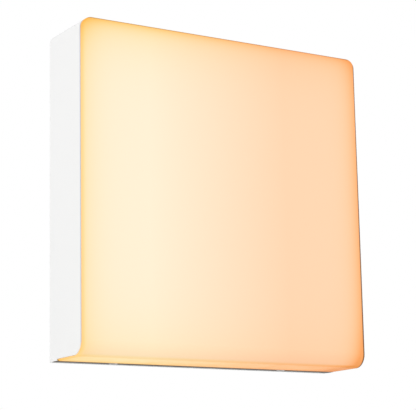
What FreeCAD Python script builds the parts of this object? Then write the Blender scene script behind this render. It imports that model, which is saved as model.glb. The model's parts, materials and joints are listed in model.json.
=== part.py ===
"""Slim square outdoor wall light: a white cast housing behind a glowing opal cover.

Millimetres. The origin is the centre of the wall plane (y = 0), the light stands out towards -Y,
+X is to the right as seen by someone facing it, and +Z is up.
"""
import FreeCAD, Part

import math
import os

# ---------------------------------------------------------------- driving dimensions
WIDTH = 197.0
HEIGHT = 200.0
DEPTH = 45.0
CORNER_R = 6.0             # top corners, seen from the front

COVER_BAND = 4.5           # how far the cover stands in front of the side walls
COVER_LIP = 1.3            # how far the cover stands below the side walls
COVER_BEND_R = 8.5         # front-bottom bend of the cover
WALL_CORNER_R = 8.5        # front-bottom corner of each side wall
FRONT_ROUND = 2.0          # edge rounding round the front of the cover
LIP_ROUND = 1.1            # edge rounding along the underside of the cover
JOINT_GAP = 0.3            # hairline between housing and cover

WALL = 2.4                 # cast side and top walls
BACK = 3.5                 # cast back wall
STRIP_DEPTH = 9.6          # white strip across the rear of the underside
STRIP_THICK = 4.0

COVER_SHEET = 3.0
SKIRT_THICK = 2.0
SKIRT_REACH = 14.0         # from the outer face of the cover to the skirt's rear edge
TONGUE_THICK = 2.0
TONGUE_REAR = 4.5          # distance of the tongue's rear edge from the wall
TONGUE_ROOT = 6.0          # how far the tongue runs forward of the strip

SEAL_DEPTH = 1.6           # along Y
SEAL_SINK = 0.9            # into the skirt
SEAL_PROUD = 0.2
SEAL_SETBACK = 11.0        # from the front face to the seal's rear side

GASKET_INSET = 5.0
GASKET_WIDTH = 3.0
GASKET_THICK = 1.5

WALL_HOLE_X = 84.0
WALL_HOLE_Z = 65.0
WALL_HOLE_R = 2.75
WALL_PAD_R = 6.5
WALL_PAD_HIGH = 2.0

CABLE_X = -36.0
CABLE_Z = -78.0
CABLE_HOLE_R = 7.0
CABLE_BORE_R = 4.0
GROMMET_FLANGE_R = 9.0
GROMMET_LIP = 1.5

VENT_X = -60.0
VENT_Z = -78.0
VENT_HOLE_R = 3.0
VENT_HEAD_R = 5.5

TRAY_SHEET = 1.0
TRAY_FRONT = 22.5          # distance of the tray's flat from the wall
TRAY_BASE = 10.0           # distance of the tray flange's front face from the wall
TRAY_FLAT = (58.0, -40.0, 74.0)      # half width, bottom, top
TRAY_FOOT = (66.0, -48.0, 82.0)
TRAY_RIM = (76.0, -58.0, 92.0)
TRAY_INSET = 0.65          # step in from the tray's outer slopes to its inner ones
POST_X = 71.0
POST_Z = (-53.0, 87.0)
POST_R = 4.0
WINDOW_R = 3.5             # half width of the lead window in the tray
WINDOW_LIP = 1.0           # overlap and thickness of its rubber edging
WINDOW_CLEAR_R = 2.2       # half width left open inside the edging

PAD_THICK = 0.5
BOARD_THICK = 1.6
BOARD_HALF = 48.0
BOARD_HOLE_INSET = 5.0
BOARD_HOLE_R = 1.2
BOARD_Z = (-34.0, 68.0)
LED_COLUMNS = 6
LED_ROWS = 6
LED_PITCH_X = 14.5
LED_PITCH_Z = 16.0
LED_SIZE = (5.0, 0.9, 3.0)
LED_LENS_R = 1.1

DRIVER_HALF = 48.0
DRIVER_Z = (10.0, 54.0)
DRIVER_FRONT = 19.0        # distance of the case's open side from the wall
DRIVER_WALL = 1.6
DRIVER_LID = 1.5
DRIVER_LID_RIM = (1.2, 1.0)      # reach into the case, thickness
DRIVER_EAR_X = 53.0
DRIVER_EAR_Z = 32.0
DRIVER_EAR_HALF = 5.0
DRIVER_EAR_REACH = 4.0     # from the ear's screw to its end
DRIVER_EAR_HIGH = 2.0
PEG_X = 41.0
PEG_Z = (17.0, 47.0)
PEG_R = 2.0
BOARD_REAR = 8.0           # distance of the driver board's rear face from the wall
DRIVER_BOARD_HALF = 45.0
DRIVER_BOARD_Z = (13.0, 51.0)
CORE_X = (-2.0, 18.0)
CORE_Z = (23.0, 47.0)
CORE_HIGH = 8.5
CORE_WINDOW_X = ((1.5, 6.0), (10.0, 14.5))
CORE_WINDOW_Z = (27.0, 43.0)
COIL_PLAY = 0.1            # between the winding and the core, along X
COIL_SETBACK = 0.5         # between the winding and the core, along Z
CANS = ((-30.0, 40.0, 5.0), (28.0, 42.0, 4.0))      # x, z and radius of each can
CAN_HIGH = 8.2
CAN_ROUND = 0.6
CHOKE_RING_R = 4.6
CHOKE_WIRE_R = 1.9
CHOKE_X = -14.0
CHOKE_Z = 41.0
CHIP_HIGH = 1.6
CHIP_BOXES = (((22.0, 27.0), (16.0, 20.0)), ((-36.0, -28.0), (26.0, 31.0)), ((-20.0, -13.0), (24.0, 29.0)))
MAINS_PLUG_X = (-11.0, 5.0)
MAINS_PLUG_Z = (14.0, 22.0)
MAINS_PLUG_HIGH = 5.5
OUTPUT_PLUG_X = (34.0, 43.0)
OUTPUT_PLUG_Z = (25.0, 35.0)
OUTPUT_PLUG_HIGH = 7.0

POLE_PITCH = 6.2
POLES = {"live": -POLE_PITCH, "neutral": 0.0, "earth": POLE_PITCH}
BLOCK_HALF = 9.6
BLOCK_Z = (-86.0, -68.0)
BLOCK_FRONT = 12.0
PIVOT_Y = -8.9
PIVOT_Z = -82.0
PIVOT_R = 0.9
PIVOT_PLAY = 0.06
SLOT_HALF = 2.5
SLOT_Z = (-85.4, -70.0)
SLOT_DEEP = (9.6, 6.7)     # distance from the wall of the slot's two floors, shallow and under the hub
SLOT_STEP_Z = -79.8
BORE_R = 1.35              # wire channel of each pole
CONTACT_HALF = 2.1
CONTACT_Y = (-4.1, -6.5)
CONTACT_Z = (-79.0, -73.0)
CONTACT_PLAY = 0.03
BLOCK_LUG_REACH = 7.0
BLOCK_LUG_Z = (-79.0, -69.0)
BLOCK_LUG_HIGH = 2.5
LEVER_HALF = 2.2
LEVER_TIP_Z = -70.5
LEVER_FACE_Y = -11.8
LEVER_THICK = 1.9
LEVER_HUB_R = 1.9
LEVER_TIP_ROUND = 0.8
PIN_REACH = 0.42           # how far each stub pin stands into the slot's cheek

LEAD_R = 1.1
LEAD_PLAY = 0.03           # round a lead where it enters a plug, wall or block
LED_LEAD_Z = (28.0, 32.0)
LEAD_TURN_X = 52.6         # where the board leads turn forward through the tray
LED_PLUG_X = (39.5, 47.0)
PLUG_HIGH = 5.0
PLUG_GRIP = 2.5            # how far a lead goes into its plug
DRIVER_OUT_Y = -14.0
MAINS_LEAD_Y = -12.0
TERMINAL_LEAD_Y = -5.4
ARC_SHARE = 0.45           # share of the shorter run that a lead's bend takes up

LOCK_X = 60.0
LOCK_Y = -6.5
LOCK_HEAD_R = 2.8
LOCK_HEAD_HIGH = 1.7
LOCK_SHANK_R = 1.5
THREAD_PLAY = 0.05
SCREW_R = 1.5
SCREW_HOLE_R = 1.7        # clearance hole of a small screw
TAPPED_FLOOR = 2.0         # metal left behind each blind tapped hole

CLIP_X = 82.0
CLIP_Z = (-30.0, 40.0)
CLIP_WIDE = 12.0
CLIP_SHEET = 0.6
CLIP_STAND = 2.5
CLIP_GAP = 0.4             # between a clip's bead and the skirt
CLIP_BEAD_Y = -36.0
CLIP_TIP_Y = -39.5

CLAMP_X = -22.0
CLAMP_Z = (-86.5, -69.5)
CLAMP_STAND = 3.0
CLAMP_STAND_R = 3.2
CLAMP_HALF = 4.0
CLAMP_BAR = 2.0
CLAMP_END = 3.5            # from each clamp screw to the end of the bar
CLAMP_ARCH_R = 6.0
CLAMP_GRIP_R = 4.0
EARTH_X = 36.0
EARTH_Z = -80.0
EARTH_STAND = 3.0
EARTH_STAND_R = 4.5
LUG_THICK = 1.0
LUG_RING_R = 4.0
LUG_HALF = 1.8
LUG_TOP_Z = -72.0
BARREL_R = 1.9
BARREL_Z = -75.5
BARREL_LONG = 5.0
TERMINAL_SCREW_X = -13.0
TERMINAL_SCREW_Z = -74.0

FRONT = -DEPTH
HALF = WIDTH / 2
TOP = HEIGHT / 2
BOTTOM = -HEIGHT / 2
JOINT_Y = FRONT + COVER_BAND
INNER_HALF = HALF - WALL
INNER_TOP = TOP - WALL
BIG = 400.0
FLOOR_Y = -BACK

ALONG_X = FreeCAD.Vector(1, 0, 0)
ALONG_Y = FreeCAD.Vector(0, 1, 0)
ALONG_Z = FreeCAD.Vector(0, 0, 1)


# ---------------------------------------------------------------- shape helpers
def block(x, y, z):
    """A box given by its (low, high) pair along each axis, in either order."""
    low = FreeCAD.Vector(min(x), min(y), min(z))
    return Part.makeBox(max(x) - low.x, max(y) - low.y, max(z) - low.z, low)


def rod(radius, start, length, axis):
    """A cylinder from start, along axis."""
    return Part.makeCylinder(radius, length, FreeCAD.Vector(*start), axis)


def fuse(shapes):
    """One solid from several, with the seams between them removed."""
    joined = shapes[0].fuse(shapes[1:]).removeSplitter()
    return joined.Solids[0] if len(joined.Solids) == 1 else joined


def upright(x, y_rear, y_front, z, radii):
    """A prism along Y of a rectangle whose two top and two bottom corners are rounded."""
    top_r, bottom_r = radii
    body = block(x, (y_rear, y_front), z)
    for edges, radius in ((max(z), top_r), (min(z), bottom_r)):
        if radius:
            body = body.makeFillet(radius, [e for e in body.Edges if runs_along_y(e, edges)])
    return body


def runs_along_y(edge, height):
    """True for a straight edge along Y at the given height."""
    ends = [vertex.Point for vertex in edge.Vertexes]
    if len(ends) != 2:
        return False
    level = all(abs(end.z - height) < 1e-6 for end in ends)
    return level and abs(ends[0].x - ends[1].x) < 1e-6 and abs(ends[0].y - ends[1].y) > 1e-6


def side_prism(points, bend, half):
    """A prism along X of a side outline; bend = (corner number, radius) rounds one corner."""
    corners = [FreeCAD.Vector(-half, y, z) for y, z in points]
    body = Part.Face(Part.makePolygon(corners + corners[:1])).extrude(ALONG_X * (2 * half))
    number, radius = bend
    y, z = points[number]
    rounded = [
        edge for edge in body.Edges
        if all(abs(v.Y - y) < 1e-6 and abs(v.Z - z) < 1e-6 for v in edge.Vertexes)
    ]
    return body.makeFillet(radius, rounded)


def tube(points, radius):
    """A round lead along straight runs joined by tangent arcs."""
    corners = [FreeCAD.Vector(*point) for point in points]
    edges = []
    begin = corners[0]
    for before, corner, after in zip(corners, corners[1:], corners[2:]):
        back = before - corner
        ahead = after - corner
        reach = ARC_SHARE * min(back.Length, ahead.Length)
        half_angle = back.getAngle(ahead) / 2
        back.normalize()
        ahead.normalize()
        middle = back + ahead
        middle.normalize()
        arc_r = reach * math.tan(half_angle)
        centre = corner + middle * (reach / math.cos(half_angle))
        leave = corner + back * reach
        meet = corner + ahead * reach
        edges.append(Part.LineSegment(begin, leave).toShape())
        edges.append(Part.Arc(leave, centre - middle * arc_r, meet).toShape())
        begin = meet
    edges.append(Part.LineSegment(begin, corners[-1]).toShape())
    section = Part.Wire(Part.makeCircle(radius, corners[0], corners[1] - corners[0]))
    return Part.Wire(edges).makePipeShell([section], True, False)


def screw(x, z, seat_y, length, head=(2.8, 1.8), shank_r=SCREW_R):
    """A pan-head screw along Y whose head rests at seat_y, with a cross recess."""
    head_r, head_high = head
    top = rod(head_r, (x, seat_y - head_high, z), head_high, ALONG_Y)
    rim = [edge for edge in top.Edges if edge.BoundBox.YMax < seat_y - head_high + 0.01]
    top = top.makeFillet(head_high * 0.45, rim)
    shank = rod(shank_r, (x, seat_y, z), length, ALONG_Y)
    arm = head_r * 0.6
    slot = head_r * 0.12
    depth = (seat_y - head_high, seat_y - head_high * 0.45)
    across = block((x - arm, x + arm), depth, (z - slot, z + slot))
    upward = block((x - slot, x + slot), depth, (z - arm, z + arm))
    return fuse([top, shank]).cut(across).cut(upward)


# ---------------------------------------------------------------- housing
def wall_outline(gap=0.0):
    """Side outline of the white walls, grown by gap at the front and along the open underside."""
    return [
        (0.0, TOP),
        (JOINT_Y - gap, TOP),
        (JOINT_Y - gap, BOTTOM + COVER_LIP - gap),
        (-STRIP_DEPTH, BOTTOM + COVER_LIP - gap),
        (-STRIP_DEPTH, BOTTOM),
        (0.0, BOTTOM),
    ]


def wall_body(gap=0.0):
    """The housing's outer form, filled."""
    body = side_prism(wall_outline(gap), (2, WALL_CORNER_R + gap), HALF)
    return body.common(upright((-HALF, HALF), BIG, -BIG, (-BIG, TOP), (CORNER_R, 0)))


def wall_screw_places():
    return [(x, z) for x in (-WALL_HOLE_X, WALL_HOLE_X) for z in (-WALL_HOLE_Z, WALL_HOLE_Z)]


def post_places():
    return [(x, z) for x in (-POST_X, POST_X) for z in POST_Z]


def clip_places():
    return [(side, z) for side in (-1, 1) for z in CLIP_Z]


def gasket_ring(thick):
    """The square ring that seals the housing to the wall."""
    outer = HALF - GASKET_INSET
    inner = outer - GASKET_WIDTH
    rise = TOP - HALF
    ring = upright((-outer, outer), 0, -thick, (-outer - rise, outer + rise), (4.0, 4.0))
    return ring.cut(upright((-inner, inner), 0, -thick, (-inner - rise, inner + rise), (1.5, 1.5)))


def make_housing():
    """Cast aluminium body: back, two sides, top and the rear strip of the underside."""
    corner = CORNER_R - WALL
    chamber = upright((-INNER_HALF, INNER_HALF), FLOOR_Y, -BIG, (-BIG, INNER_TOP), (corner, 0))
    strip = block((-HALF, HALF), (0, -STRIP_DEPTH), (BOTTOM, BOTTOM + STRIP_THICK))
    body = wall_body().cut(chamber.cut(strip))
    stands = [rod(WALL_PAD_R, (x, FLOOR_Y, z), WALL_PAD_HIGH, -ALONG_Y) for x, z in wall_screw_places()]
    post_high = TRAY_BASE - TRAY_SHEET - BACK
    stands += [rod(POST_R, (x, FLOOR_Y, z), post_high, -ALONG_Y) for x, z in post_places()]
    stands += [
        block((side * (CLIP_X - 4), side * (CLIP_X + 4)), (FLOOR_Y, FLOOR_Y - CLIP_STAND), (z - 6, z + 6))
        for side, z in clip_places()
    ]
    stands += [rod(CLAMP_STAND_R, (CLAMP_X, FLOOR_Y, z), CLAMP_STAND, -ALONG_Y) for z in CLAMP_Z]
    stands.append(rod(EARTH_STAND_R, (EARTH_X, FLOOR_Y, EARTH_Z), EARTH_STAND, -ALONG_Y))
    body = fuse([body] + stands)
    holes = [rod(WALL_HOLE_R, (x, BIG / 2, z), BIG, -ALONG_Y) for x, z in wall_screw_places()]
    holes.append(rod(CABLE_HOLE_R, (CABLE_X, BIG / 2, CABLE_Z), BIG, -ALONG_Y))
    holes.append(rod(VENT_HOLE_R, (VENT_X, BIG / 2, VENT_Z), BIG, -ALONG_Y))
    tapped = post_places() + [(side * CLIP_X, z) for side, z in clip_places()]
    tapped += [(CLAMP_X, z) for z in CLAMP_Z]
    tapped += [(EARTH_X, EARTH_Z), (TERMINAL_SCREW_X, TERMINAL_SCREW_Z)]
    tapped += [(side * DRIVER_EAR_X, DRIVER_EAR_Z) for side in (-1, 1)]
    holes += [rod(SCREW_R + THREAD_PLAY, (x, -TAPPED_FLOOR, z), 20, -ALONG_Y) for x, z in tapped]
    for side in (-1, 1):
        recess_high = LOCK_HEAD_HIGH + 0.1
        holes.append(rod(LOCK_HEAD_R + 0.2, (side * LOCK_X, LOCK_Y, BOTTOM), recess_high, ALONG_Z))
        holes.append(rod(LOCK_SHANK_R + THREAD_PLAY, (side * LOCK_X, LOCK_Y, BOTTOM), 6, ALONG_Z))
    for hole in holes:
        body = body.cut(hole)
    return body.cut(gasket_ring(GASKET_THICK + 0.1))


def make_wall_gasket():
    """Soft foam ring lying in the groove of the housing's back."""
    return gasket_ring(GASKET_THICK)


def make_cable_grommet():
    """Rubber entry for the supply cable, clamped over both faces of the back wall's hole."""
    neck = rod(CABLE_HOLE_R, (CABLE_X, 0, CABLE_Z), BACK, -ALONG_Y)
    flange = rod(GROMMET_FLANGE_R, (CABLE_X, FLOOR_Y, CABLE_Z), GROMMET_LIP, -ALONG_Y)
    nose = Part.makeCone(
        CABLE_HOLE_R, CABLE_BORE_R + 1.2, 4.0,
        FreeCAD.Vector(CABLE_X, FLOOR_Y - GROMMET_LIP, CABLE_Z), -ALONG_Y,
    )
    return fuse([neck, flange, nose]).cut(rod(CABLE_BORE_R, (CABLE_X, 1, CABLE_Z), 20, -ALONG_Y))


def make_vent_plug():
    """Pressure vent: a snap-in plug with a membrane seat."""
    neck = rod(VENT_HOLE_R - THREAD_PLAY, (VENT_X, -0.5, VENT_Z), BACK - 0.5, -ALONG_Y)
    head = rod(VENT_HEAD_R, (VENT_X, FLOOR_Y, VENT_Z), 2.4, -ALONG_Y)
    channel = rod(1.2, (VENT_X, 0, VENT_Z), 10, -ALONG_Y)
    return fuse([neck, head]).cut(channel)


def make_lock_screw(side):
    """Captive screw in the rear strip; its flat tip bears on the cover's tongue."""
    centre = (side * LOCK_X, LOCK_Y, BOTTOM)
    head = rod(LOCK_HEAD_R, centre, LOCK_HEAD_HIGH, ALONG_Z)
    shank = rod(LOCK_SHANK_R, centre, STRIP_THICK + 0.1, ALONG_Z)
    socket = Part.makePolygon([
        FreeCAD.Vector(
            side * LOCK_X + 1.5 * math.cos(math.radians(60 * turn)),
            LOCK_Y + 1.5 * math.sin(math.radians(60 * turn)),
            BOTTOM,
        )
        for turn in range(7)
    ])
    return fuse([head, shank]).cut(Part.Face(socket).extrude(ALONG_Z * 1.2))


# ---------------------------------------------------------------- opal cover
def cover_outline(inset=0.0):
    """Side outline of the cover, moved in by inset from its front and underside."""
    rear = -STRIP_DEPTH - JOINT_GAP
    return [
        (rear if not inset else BIG, TOP),
        (FRONT + inset, TOP),
        (FRONT + inset, BOTTOM + inset),
        (rear if not inset else BIG, BOTTOM + inset),
    ]


def cover_body():
    """The cover's outer form, filled, with its visible edges rounded."""
    body = side_prism(cover_outline(), (2, COVER_BEND_R), HALF)
    body = body.common(upright((-HALF, HALF), 0, -BIG, (-BIG, TOP), (CORNER_R, 0)))
    document = FreeCAD.newDocument("cover")
    base = document.addObject("Part::Feature", "body")
    base.Shape = body
    rounding = document.addObject("Part::Fillet", "rounding")
    rounding.Base = base
    rounding.Edges = [
        (number, *radii) for number, edge in enumerate(body.Edges, 1) if (radii := edge_rounding(edge))
    ]
    document.recompute()
    rounded = rounding.Shape.Solids[0]
    FreeCAD.closeDocument(document.Name)
    return rounded


def edge_rounding(edge):
    """Start and end radius of the rounding on one edge of the cover's filled body, or None."""
    ends = [edge.valueAt(edge.FirstParameter), edge.valueAt(edge.LastParameter)]
    on_front = [abs(end.y - FRONT) < 1e-6 for end in ends]
    on_side = all(abs(abs(end.x) - HALF) < 1e-6 for end in ends)
    on_floor = [abs(end.z - BOTTOM) < 1e-6 for end in ends]
    if all(on_front) and not any(on_floor):
        flat = abs(ends[0].z - ends[1].z) < 1e-6 and ends[0].z < 0
        return None if flat else (FRONT_ROUND, FRONT_ROUND)
    if on_side and all(on_floor) and abs(ends[0].x - ends[1].x) < 1e-6:
        return LIP_ROUND, LIP_ROUND
    if on_side and any(on_front) and any(on_floor):
        return (FRONT_ROUND, LIP_ROUND) if on_front[0] else (LIP_ROUND, FRONT_ROUND)
    return None


def skirt_prism(inset, rear=0.0):
    """The space inside the white walls, inset from them, reaching down past the underside."""
    half = INNER_HALF - inset
    corner = CORNER_R - WALL - min(inset, 2.0)
    return upright((-half, half), rear, -BIG, (-BIG, INNER_TOP - inset), (corner, 0))


def seal_ring(proud):
    """U-shaped cord round the skirt, left, top and right."""
    rear = FRONT + SEAL_SETBACK
    bottom = BOTTOM + SKIRT_REACH
    outer = INNER_HALF - JOINT_GAP + proud
    top = INNER_TOP - JOINT_GAP + proud
    inner = INNER_HALF - JOINT_GAP - SEAL_SINK
    inner_top = INNER_TOP - JOINT_GAP - SEAL_SINK
    corner = CORNER_R - WALL - JOINT_GAP
    ring = upright((-outer, outer), rear, rear - SEAL_DEPTH, (bottom, top), (corner + proud, 0))
    core = upright((-inner, inner), rear, rear - SEAL_DEPTH, (bottom - 1, inner_top), (corner - SEAL_SINK, 0))
    return ring.cut(core)


def make_diffuser():
    """Opal cover: front, underside, a skirt nested in the housing and a tongue over the strip."""
    filled = cover_body()
    outside = filled.cut(wall_body(JOINT_GAP))
    nested = filled.common(skirt_prism(JOINT_GAP)).common(wall_body(JOINT_GAP))
    whole = fuse([outside, nested])
    hollow = side_prism(cover_outline(COVER_SHEET), (2, COVER_BEND_R - COVER_SHEET), BIG)
    hollow = hollow.common(skirt_prism(JOINT_GAP + SKIRT_THICK))
    behind = side_prism(cover_outline(SKIRT_REACH), (2, 4.0), BIG)
    whole = whole.cut(hollow).cut(behind).cut(seal_ring(0.0))
    tongue_z = BOTTOM + STRIP_THICK + JOINT_GAP
    tongue_half = INNER_HALF - JOINT_GAP - SKIRT_THICK
    tongue = block(
        (-tongue_half, tongue_half),
        (-TONGUE_REAR, -STRIP_DEPTH - TONGUE_ROOT),
        (tongue_z, tongue_z + TONGUE_THICK),
    )
    riser = block(
        (-tongue_half, tongue_half),
        (-STRIP_DEPTH - JOINT_GAP, -STRIP_DEPTH - TONGUE_ROOT),
        (BOTTOM + COVER_SHEET - 0.5, tongue_z + TONGUE_THICK),
    )
    return fuse([whole, tongue, riser])


def make_diffuser_seal():
    """Silicone cord in the skirt's groove."""
    return seal_ring(SEAL_PROUD)


# ---------------------------------------------------------------- light source
def frustum(rear_y, front_y, foot, flat):
    """A solid between two upright rectangles, each (half width, bottom, top)."""
    wires = []
    for y, (half, low, high) in ((rear_y, foot), (front_y, flat)):
        corners = [(-half, low), (half, low), (half, high), (-half, high), (-half, low)]
        wires.append(Part.makePolygon([FreeCAD.Vector(x, y, z) for x, z in corners]))
    return Part.makeLoft(wires, True, True)


def shrunk(rectangle, by):
    half, low, high = rectangle
    return half - by, low + by, high - by


def make_reflector_tray():
    """Folded white sheet: a flat for the board, four slopes and a flange on the posts."""
    base_y = -TRAY_BASE
    outer = frustum(base_y, -TRAY_FRONT, TRAY_FOOT, TRAY_FLAT)
    rear_y = base_y + TRAY_SHEET
    inner_foot = shrunk(TRAY_FOOT, TRAY_INSET)
    inner_flat = shrunk(TRAY_FLAT, TRAY_INSET)
    inner = frustum(rear_y, -TRAY_FRONT + TRAY_SHEET, inner_foot, inner_flat)
    half, low, high = TRAY_RIM
    flange = upright((-half, half), rear_y, base_y, (low, high), (3.0, 3.0))
    tray = fuse([outer, flange]).cut(inner)
    for x, z in post_places():
        tray = tray.cut(rod(1.8, (x, 0, z), 30, -ALONG_Y))
    for x, z in board_screw_places():
        tray = tray.cut(rod(BOARD_HOLE_R + THREAD_PLAY, (x, 0, z), 30, -ALONG_Y))
    return tray.cut(lead_window(WINDOW_R))


def lead_window(radius):
    """Upright oblong prism where the two board leads pass through the tray."""
    low, high = LED_LEAD_Z
    slot = block((LEAD_TURN_X - radius, LEAD_TURN_X + radius), (-15, -TRAY_FRONT - 5), (low, high))
    ends = [rod(radius, (LEAD_TURN_X, -15, z), TRAY_FRONT - 10, -ALONG_Y) for z in LED_LEAD_Z]
    return fuse([slot] + ends)


def make_tray_grommet():
    """Rubber edging round the lead window of the tray."""
    rear = -TRAY_FRONT + TRAY_SHEET
    lip = lead_window(WINDOW_R + WINDOW_LIP)
    layers = [
        (lip, rear + WINDOW_LIP, rear),
        (lip, -TRAY_FRONT, -TRAY_FRONT - WINDOW_LIP),
        (lead_window(WINDOW_R), rear, -TRAY_FRONT),
    ]
    ring = fuse([shape.common(block((-BIG, BIG), (low, high), (-BIG, BIG))) for shape, low, high in layers])
    return ring.cut(lead_window(WINDOW_CLEAR_R))


def board_screw_places():
    reach = BOARD_HALF - BOARD_HOLE_INSET
    rows = (BOARD_Z[0] + BOARD_HOLE_INSET, BOARD_Z[1] - BOARD_HOLE_INSET)
    return [(x, z) for x in (-reach, reach) for z in rows]


def board_face():
    """The y of the light board's front face."""
    return -TRAY_FRONT - PAD_THICK - BOARD_THICK


def board_plate(rear, thick, play):
    """A plate of the LED board's outline, with its four screw holes."""
    plate = upright((-BOARD_HALF, BOARD_HALF), -rear, -rear - thick, BOARD_Z, (3.0, 3.0))
    for x, z in board_screw_places():
        plate = plate.cut(rod(BOARD_HOLE_R + play, (x, 0, z), 40, -ALONG_Y))
    return plate


def make_thermal_pad():
    return board_plate(TRAY_FRONT, PAD_THICK, 0.3)


def make_led_board():
    return board_plate(TRAY_FRONT + PAD_THICK, BOARD_THICK, 0.2)


def make_led_chips():
    """A square grid of surface-mount packages, each with its lens dimple."""
    wide, deep, tall = LED_SIZE
    face = board_face()
    middle = sum(BOARD_Z) / 2
    chips = []
    for column in range(LED_COLUMNS):
        for row in range(LED_ROWS):
            x = (column - (LED_COLUMNS - 1) / 2) * LED_PITCH_X
            z = middle + (row - (LED_ROWS - 1) / 2) * LED_PITCH_Z
            chip = block((x - wide / 2, x + wide / 2), (face, face - deep), (z - tall / 2, z + tall / 2))
            dimple = rod(LED_LENS_R, (x, face - deep + 0.2, z), 1, -ALONG_Y)
            chips.append(chip.cut(dimple))
    return chips


def led_lead_y():
    """The y at which the board leads run into their plug."""
    return board_face() - PLUG_HIGH / 2


def make_led_plug():
    """Two-way push-in connector at the board's right edge, with a release slot for each lead."""
    face = board_face()
    left, right = LED_PLUG_X
    body = block((left, right), (face, face - PLUG_HIGH), (LED_LEAD_Z[0] - 3.5, LED_LEAD_Z[1] + 3.5))
    for z in LED_LEAD_Z:
        body = body.cut(rod(LEAD_R + LEAD_PLAY, (right - PLUG_GRIP, led_lead_y(), z), 10, ALONG_X))
        release = block((left + 1.5, left + 3.5), (face - 3.8, face - PLUG_HIGH - 1), (z - 1, z + 1))
        body = body.cut(release)
    return body


# ---------------------------------------------------------------- driver
def make_driver_case():
    """Moulded tray of the driver, with two screw ears and four board pegs."""
    low, high = DRIVER_Z
    case = block((-DRIVER_HALF, DRIVER_HALF), (FLOOR_Y, -DRIVER_FRONT), (low, high))
    room = block(
        (-DRIVER_HALF + DRIVER_WALL, DRIVER_HALF - DRIVER_WALL),
        (FLOOR_Y - DRIVER_WALL, -BIG),
        (low + DRIVER_WALL, high - DRIVER_WALL),
    )
    case = case.cut(room)
    peg_high = BOARD_REAR + FLOOR_Y - DRIVER_WALL
    pieces = [case]
    for x in (-PEG_X, PEG_X):
        for z in PEG_Z:
            pieces.append(rod(PEG_R, (x, FLOOR_Y - DRIVER_WALL, z), peg_high, -ALONG_Y))
    for side in (-1, 1):
        ear = block(
            (side * (DRIVER_HALF - 1), side * (DRIVER_EAR_X + DRIVER_EAR_REACH)),
            (FLOOR_Y, FLOOR_Y - DRIVER_EAR_HIGH),
            (DRIVER_EAR_Z - DRIVER_EAR_HALF, DRIVER_EAR_Z + DRIVER_EAR_HALF),
        )
        pieces.append(ear.cut(room))
    case = fuse(pieces)
    for side in (-1, 1):
        case = case.cut(rod(SCREW_HOLE_R, (side * DRIVER_EAR_X, 0, DRIVER_EAR_Z), 20, -ALONG_Y))
    for x in (POLES["live"], POLES["neutral"]):
        case = case.cut(rod(LEAD_R + 0.2, (x, MAINS_LEAD_Y, low - 1), 4, ALONG_Z))
    for z in LED_LEAD_Z:
        case = case.cut(rod(LEAD_R + 0.2, (DRIVER_HALF - 3, DRIVER_OUT_Y, z), 6, ALONG_X))
    return case


def make_driver_lid():
    """Flat lid with a rim that snaps inside the case."""
    low, high = DRIVER_Z
    reach, thick = DRIVER_LID_RIM
    plate = block((-DRIVER_HALF, DRIVER_HALF), (-DRIVER_FRONT, -DRIVER_FRONT - DRIVER_LID), (low, high))
    rim = lid_step(DRIVER_WALL + 0.1, reach)
    return fuse([plate, rim.cut(lid_step(DRIVER_WALL + 0.1 + thick, reach + 1))])


def lid_step(inset, reach):
    """A block behind the lid, inset from the lid's edge and reaching into the case."""
    low, high = DRIVER_Z
    half = DRIVER_HALF - inset
    return block((-half, half), (-DRIVER_FRONT, -DRIVER_FRONT + reach), (low + inset, high - inset))


def driver_face():
    """The y of the driver board's front face."""
    return -BOARD_REAR - BOARD_THICK


def make_driver_board():
    half = DRIVER_BOARD_HALF
    return upright((-half, half), -BOARD_REAR, driver_face(), DRIVER_BOARD_Z, (1.0, 1.0))


def make_transformer_core():
    """Ferrite frame with an open window round the winding."""
    face = driver_face()
    frame = block(CORE_X, (face, face - CORE_HIGH), CORE_Z)
    for x in CORE_WINDOW_X:
        frame = frame.cut(block(x, (face + 1, face - CORE_HIGH - 1), CORE_WINDOW_Z))
    return frame


def make_transformer_winding():
    """Taped coil, seen as two halves beside the middle leg of the core."""
    face = driver_face()
    depth = (face - 1.0, face - CORE_HIGH + 0.7)
    z = (CORE_WINDOW_Z[0] + COIL_SETBACK, CORE_WINDOW_Z[1] - COIL_SETBACK)
    return [block((left + COIL_PLAY, right - COIL_PLAY), depth, z) for left, right in CORE_WINDOW_X]


def make_capacitors():
    """Two upright electrolytic cans."""
    cans = []
    for x, z, radius in CANS:
        can = rod(radius, (x, driver_face(), z), CAN_HIGH, -ALONG_Y)
        rim = [edge for edge in can.Edges if edge.BoundBox.YMax < driver_face() - CAN_HIGH / 2]
        cans.append(can.makeFillet(CAN_ROUND, rim))
    return cans


def make_choke():
    """Toroidal inductor lying on the board."""
    centre = FreeCAD.Vector(CHOKE_X, driver_face() - CHOKE_WIRE_R, CHOKE_Z)
    return Part.makeTorus(CHOKE_RING_R, CHOKE_WIRE_R, centre, ALONG_Y)


def make_switching_chips():
    """The driver's three small packages."""
    face = driver_face()
    return [block(x, (face, face - CHIP_HIGH), z) for x, z in CHIP_BOXES]


def make_driver_plugs():
    """Mains and output connectors at the board's edges, with their lead holes."""
    face = driver_face()
    hole_r = LEAD_R + LEAD_PLAY
    mains = block(MAINS_PLUG_X, (face, face - MAINS_PLUG_HIGH), MAINS_PLUG_Z)
    for x in (POLES["live"], POLES["neutral"]):
        mains = mains.cut(rod(hole_r, (x, MAINS_LEAD_Y, MAINS_PLUG_Z[0] - 1), 1 + PLUG_GRIP, ALONG_Z))
    output = block(OUTPUT_PLUG_X, (face, face - OUTPUT_PLUG_HIGH), OUTPUT_PLUG_Z)
    for z in LED_LEAD_Z:
        output = output.cut(rod(hole_r, (OUTPUT_PLUG_X[1] - PLUG_GRIP, DRIVER_OUT_Y, z), 10, ALONG_X))
    return [mains, output]


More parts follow.
